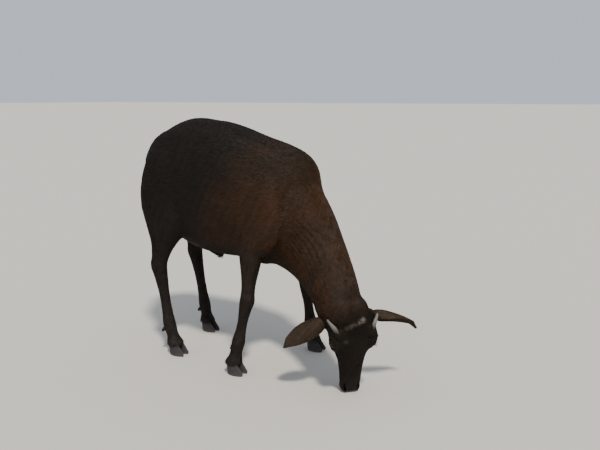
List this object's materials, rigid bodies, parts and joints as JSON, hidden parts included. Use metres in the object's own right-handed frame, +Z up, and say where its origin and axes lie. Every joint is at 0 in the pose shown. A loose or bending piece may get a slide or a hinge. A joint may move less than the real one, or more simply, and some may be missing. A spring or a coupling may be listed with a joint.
{
  "type": "cameroon sheep",
  "caption": "Young Cameroon hair sheep ram, dark coat, small horns, standing and grazing with its head down, as a still life-size model.",
  "frame": {"origin": "on the floor, below the middle of the animal's bounding box", "axes": "+X from the rump to the withers, +Y to the animal's left, +Z up; the soles stand on Z = 0"},
  "size_m": [0.7166, 0.277, 0.577],
  "materials": {
    "coat": "short dense hair, black brown with a brown cast over the shoulder and neck",
    "face": "very short hair with a slight sheen, near black",
    "horn": "light grey horn, ringed at its base",
    "hoof": "grey horn, dull",
    "eye": "wet and dark, with a wide flat pupil"
  },
  "bodies": {
    "root": {"claw_front_left_left": "hoof", "claw_front_left_right": "hoof", "claw_front_right_left": "hoof", "claw_front_right_right": "hoof", "claw_hind_left_left": "hoof", "claw_hind_left_right": "hoof", "claw_hind_right_left": "hoof", "claw_hind_right_right": "hoof", "dewclaw_front_left_left": "hoof", "dewclaw_front_left_right": "hoof", "dewclaw_front_right_left": "hoof", "dewclaw_front_right_right": "hoof", "dewclaw_hind_left_left": "hoof", "dewclaw_hind_left_right": "hoof", "dewclaw_hind_right_left": "hoof", "dewclaw_hind_right_right": "hoof", "ear_left": "face", "ear_right": "face", "eye_left": "eye", "eye_right": "eye", "head": "face", "horn_left": "horn", "horn_right": "horn", "leg_front_left": "coat", "leg_front_right": "coat", "leg_hind_left": "coat", "leg_hind_right": "coat", "neck": "coat", "scrotum": "coat", "tail": "coat", "torso": "coat"}
  },
  "joints": []
}
